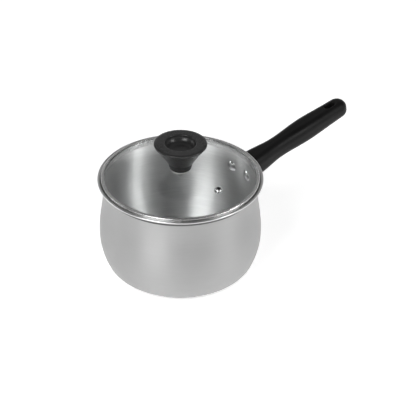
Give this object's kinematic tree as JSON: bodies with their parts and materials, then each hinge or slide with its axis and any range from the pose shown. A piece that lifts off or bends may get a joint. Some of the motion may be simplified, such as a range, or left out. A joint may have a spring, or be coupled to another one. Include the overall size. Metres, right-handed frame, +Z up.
{
  "type": "saucepan with glass lid",
  "caption": "Steel saucepan with a swelling belly, flared lip and bonded base, a riveted black side handle with a hanging slot, and a lift-off glass lid with steam vent and dished knob.",
  "frame": {"origin": "centre of the base's underside, where the pan stands on the hob", "axes": "+Z up along the pan's axis, +X along the handle, away from the pan"},
  "size_m": [0.3206, 0.1722, 0.147],
  "materials": {
    "pot_steel": "brushed inside and out",
    "base_steel": "turned face",
    "base_aluminium": "bonded core",
    "saddle_steel": "satin",
    "tang_steel": "bare",
    "rivet_steel": "polished heads",
    "grip_black": "satin phenolic",
    "screw_steel": "plated",
    "lid_glass": "clear tempered",
    "band_steel": "bright rolled",
    "gasket_grey": "soft plastic",
    "eyelet_steel": "polished",
    "seal_clear": "silicone",
    "collar_black": "phenolic",
    "knob_black": "satin phenolic",
    "insert_brass": "turned"
  },
  "bodies": {
    "pan": {"pot_shell": "pot_steel", "base_heat_disc": "base_aluminium", "base_cap": "base_steel", "handle_saddle": "saddle_steel", "handle_tang": "tang_steel", "handle_rivet_left": "rivet_steel", "handle_rivet_right": "rivet_steel", "handle_grip": "grip_black", "handle_screw": "screw_steel"},
    "lid": {"lid_glass": "lid_glass", "lid_band": "band_steel", "lid_gasket": "gasket_grey", "vent_eyelet": "eyelet_steel", "vent_washer": "eyelet_steel", "knob_top_seal": "seal_clear", "knob_collar": "collar_black", "lid_knob": "knob_black", "knob_insert": "insert_brass", "knob_lower_seal": "seal_clear", "knob_washer": "screw_steel", "knob_screw": "screw_steel"}
  },
  "joints": [
    {"name": "lid_lift", "type": "slide", "parent": "pan", "child": "lid", "axis": [0, 0, 1], "range_m": [0, 0.12]}
  ]
}
